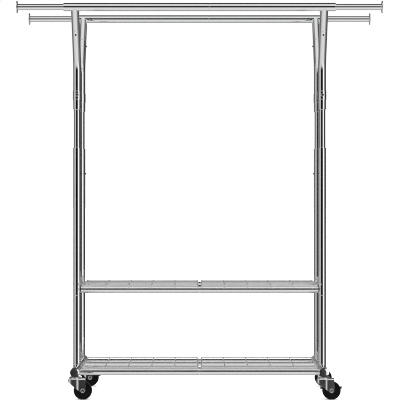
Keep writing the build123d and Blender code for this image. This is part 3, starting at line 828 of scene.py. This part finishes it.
def axle(corner, side, front):
    """A tubular axle rivet with a rolled flange at each end."""
    node = f"caster_axle_{corner}"
    low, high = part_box(node)
    length = high.y - low.y
    flange = 2.0 * MM
    corners = [
        (4.0 * MM, 0.5 * MM, 0.2 * MM), (4.6 * MM, 0, 0.3 * MM), (7.7 * MM, 0, 0.3 * MM),
        (9.4 * MM, 1.2 * MM, 0.5 * MM), (9.5 * MM, flange, 0.3 * MM),
        (5.5 * MM, flange), (5.5 * MM, length - flange),
        (9.5 * MM, length - flange, 0.3 * MM), (9.4 * MM, length - 1.2 * MM, 0.5 * MM),
        (7.7 * MM, length, 0.3 * MM), (4.6 * MM, length, 0.3 * MM), (4.0 * MM, length - 0.5 * MM, 0.2 * MM),
    ]
    base = (side * POST_X + TRAIL, low.y, AXLE_Z)
    keep_flats_flat(piece(f"{node}_mesh", node, [lathe(eased(corners, 4, True), base, Y_AXIS, True, 48)]))


def stem(corner, side, front):
    """The fixed half of the swivel: riveted foot, domed race, hub and the stem into the base tube."""
    low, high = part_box("caster_stems")
    race = FORK_TOP_Z + 0.3 * MM
    hub_top = BASE_LOW.z - 0.1 * MM
    foot_top = low.z + 3 * MM
    corners = [
        (0, low.z), (9.5 * MM, low.z, 0.9 * MM), (9.5 * MM, foot_top, 0.5 * MM), (6.0 * MM, foot_top),
        (6.0 * MM, race), (27.5 * MM, race, 0.4 * MM), (29.0 * MM, race + 1.2 * MM, 1.0 * MM),
        (29.0 * MM, race + 3.0 * MM, 2.2 * MM), (24.5 * MM, race + 7.0 * MM, 3.0 * MM),
        (14.2 * MM, race + 7.0 * MM, 1.6 * MM), (13.0 * MM, hub_top - 1.0 * MM, 0.8 * MM),
        (6.0 * MM, hub_top), (6.0 * MM, high.z, 0.8 * MM), (0, high.z),
    ]
    base = (side * POST_X, front * CASTER_Y, 0)
    keep_flats_flat(piece(f"caster_stem_{corner}", "caster_stems", [lathe(eased(corners, 5), base, Z_AXIS)]))


def brake(corner, side, front):
    """The brake rocker: a bent strip on the axle outside the far leg, with a foot tab at each end."""
    node = f"caster_brake_{corner}"
    low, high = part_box(node)
    reach = (high.x - low.x) / 2
    thick = 2.0 * MM
    near, far = low.y - front * CASTER_Y, high.y - front * CASTER_Y
    outline = eased([
        (-reach, near, 3.0 * MM), (reach, near, 3.0 * MM),
        (reach, far, 0.5 * MM), (reach - thick, far, 0.5 * MM),
        (reach - thick, near + thick, 1.2 * MM), (-reach + thick, near + thick, 1.2 * MM),
        (-reach + thick, far, 0.5 * MM), (-reach, far, 0.5 * MM),
    ], 5, True)
    strip = prism([tuple(point) for point in outline], 4.0 * MM, 16.0 * MM)
    eye = pipe((0, near, 0), (0, near + thick, 0), 11.0 * MM, 5.6 * MM, 0.3 * MM)
    at = (side * POST_X + TRAIL, front * CASTER_Y, AXLE_Z)
    ease_edges(piece(f"{node}_mesh", node, [moved(strip, *at), moved(eye, *at)]), 0.3 * MM)


for side in (-1, 1):
    base_tube(side)
    shelf("middle", side, POST_Y, MID_RIM_Z, [number * 88.0 * MM for number in range(-2, 3)])
    shelf("low", side, LOW_RIM_Y, LOW_RIM_Z, [number * 100.0 * MM for number in range(-1, 2)])
for corner, (side, front) in CORNERS.items():
    for build in (
        end_plug, lower_post, outer_post, arm, arm_collar, rail, extension, lock_screw, arm_buttons,
        wheel, fork, axle, stem,
    ):
        build(corner, side, front)
for corner in ("front_right", "rear_left"):
    brake(corner, *CORNERS[corner])


# ---------------------------------------------------------------- studio


def maths(tree, operation, first, second=None):
    """A sum on one or two inputs; each is a number or a socket."""
    made = add_node(tree, "ShaderNodeMath", operation=operation)
    for socket, value in zip(made.inputs, (first, second)):
        if isinstance(value, (int, float)):
            socket.default_value = value
        elif value is not None:
            tree.links.new(value, socket)
    return made.outputs["Value"]


def mixed(tree, mask, off, on):
    """off where the mask is 0, on where it is 1."""
    made = add_node(tree, "ShaderNodeMix", data_type="FLOAT")
    for socket, value in ((made.inputs["Factor"], mask), (made.inputs["A"], off), (made.inputs["B"], on)):
        if isinstance(value, (int, float)):
            socket.default_value = value
        else:
            tree.links.new(value, socket)
    return made.outputs["Result"]


# The light tent on each of four sides, as (degrees away from the front, brightness). It is dark at the
# front, where a black flag behind the camera makes the dark line down the middle of every tube.
TENT_LEFT = (
    (0, 0.003), (34, 0.003), (40, 0.3), (46, 0.62), (80, 0.5), (92, 0.14), (120, 0.06), (134, 0.3),
    (180, 0.3),
)
TENT_RIGHT = (
    (0, 0.003), (17, 0.006), (22, 0.3), (28, 1.0), (56, 1.0), (65, 0.5), (74, 0.1), (80, 0.03),
    (112, 0.03), (128, 0.1), (180, 0.14),
)
TENT_UP = (
    (0, 0.004), (16, 0.006), (23, 0.2), (30, 0.75), (70, 0.8), (80, 0.4), (88, 0.06), (112, 0.02),
    (140, 0.1), (180, 0.12),
)
TENT_DOWN = ((0, 0.004), (10, 0.01), (18, 0.25), (28, 0.74), (98, 0.74), (115, 0.36), (180, 0.3))
FLOOR_LIGHT = 1.7


def tent_side(tree, share, levels):
    """One side's brightness, by the share of a half turn away from the front."""
    ramp = add_node(tree, "ShaderNodeValToRGB")
    stops = ramp.color_ramp.elements
    while len(stops) < len(levels):
        stops.new(0.5)
    for stop, (angle, level) in zip(stops, levels):
        stop.position = angle / 180.0
    for stop, (angle, level) in zip(stops, levels):
        stop.color = (level, level, level, 1.0)
    tree.links.new(share, ramp.inputs["Fac"])
    return ramp.outputs["Color"]


def studio_world():
    """A plain white background, one level of soft light for matt surfaces, and the light tent for gloss."""
    world = bpy.data.worlds.new("studio")
    bpy.context.scene.world = world
    world.use_nodes = True
    tree = world.node_tree
    background = tree.nodes["Background"]
    background.inputs["Color"].default_value = (1.0, 1.0, 1.0, 1.0)
    split = add_node(tree, "ShaderNodeSeparateXYZ")
    tree.links.new(add_node(tree, "ShaderNodeTexCoord").outputs["Generated"], split.inputs["Vector"])
    x, y, z = split.outputs
    share = maths(tree, "DIVIDE", maths(tree, "ARCCOSINE", maths(tree, "MULTIPLY", y, -1.0)), math.pi)
    left, right, up, down = (
        tent_side(tree, share, levels) for levels in (TENT_LEFT, TENT_RIGHT, TENT_UP, TENT_DOWN)
    )
    level = mixed(tree, maths(tree, "GREATER_THAN", x, 0.0), left, right)
    steep = mixed(tree, maths(tree, "GREATER_THAN", z, 0.0), down, up)
    across, upright = maths(tree, "MULTIPLY", x, x), maths(tree, "MULTIPLY", z, z)
    both = maths(tree, "ADD", maths(tree, "ADD", across, upright), 1e-6)
    light = mixed(tree, maths(tree, "DIVIDE", upright, both), level, steep)
    path = add_node(tree, "ShaderNodeLightPath")
    plain = mixed(tree, path.outputs["Is Camera Ray"], FLOOR_LIGHT, 1.0)
    tree.links.new(mixed(tree, path.outputs["Is Glossy Ray"], plain, light), background.inputs["Strength"])


def studio_floor():
    """A plain pale floor that runs out of every view."""
    size = 60.0
    mesh = bpy.data.meshes.new("floor")
    corners = [(-size, -size, 0), (size, -size, 0), (size, size, 0), (-size, size, 0)]
    mesh.from_pydata(corners, [], [(0, 1, 2, 3)])
    floor = bpy.data.objects.new("floor", mesh)
    bpy.context.scene.collection.objects.link(floor)
    material, tree, shader, coords = new_material("floor_paper")
    shader.inputs["Roughness"].default_value = 0.9
    shader.inputs["Specular IOR Level"].default_value = 0.0
    grain = noise(tree, coords, 30.0)
    tree.links.new(tint(tree, grain, (0.93, 0.93, 0.93), (0.95, 0.95, 0.95)), shader.inputs["Base Color"])
    mesh.materials.append(material)
    floor.visible_glossy = False


def studio_camera():
    """The photograph's view: a long lens, straight on from the front, a little above the rack's middle."""
    camera = bpy.data.cameras.new("camera")
    camera.sensor_width = 36.0
    camera.lens = 149.04
    camera.clip_end = 200.0
    camera.shift_x = 0.001
    camera.shift_y = -0.04
    holder = bpy.data.objects.new("camera", camera)
    bpy.context.scene.collection.objects.link(holder)
    holder.location = (0.0, -7.920, 0.997)
    holder.rotation_euler = (math.radians(90.0), 0.0, 0.0)
    bpy.context.scene.camera = holder


def plug_lamp():
    """A soft lamp, low on the right, that lights only the black plugs and gives each dome its crescent."""
    light = bpy.data.lights.new("plug_lamp", "AREA")
    light.shape = "RECTANGLE"
    light.size = 7.0
    light.size_y = 7.0
    light.energy = 7000.0
    lamp = bpy.data.objects.new("plug_lamp", light)
    bpy.context.scene.collection.objects.link(lamp)
    away = 4.0
    azimuth, height = math.radians(66.0), math.radians(12.0)
    level = math.cos(height)
    towards = Vector((math.sin(azimuth) * level, -math.cos(azimuth) * level, math.sin(height)))
    lamp.location = towards * away
    lamp.visible_camera = False
    lamp.rotation_euler = towards.to_track_quat("Z", "Y").to_euler()
    lit = bpy.data.collections.new("lit_by_plug_lamp")
    for corner in CORNERS:
        lit.objects.link(bpy.data.objects[f"end_plug_{corner}"])
    lamp.light_linking.receiver_collection = lit


studio_world()
studio_floor()
studio_camera()
plug_lamp()
bpy.context.scene.view_settings.view_transform = "Standard"
bpy.context.scene.cycles.filter_width = 1.0      # the photograph is crisp from pixel to pixel
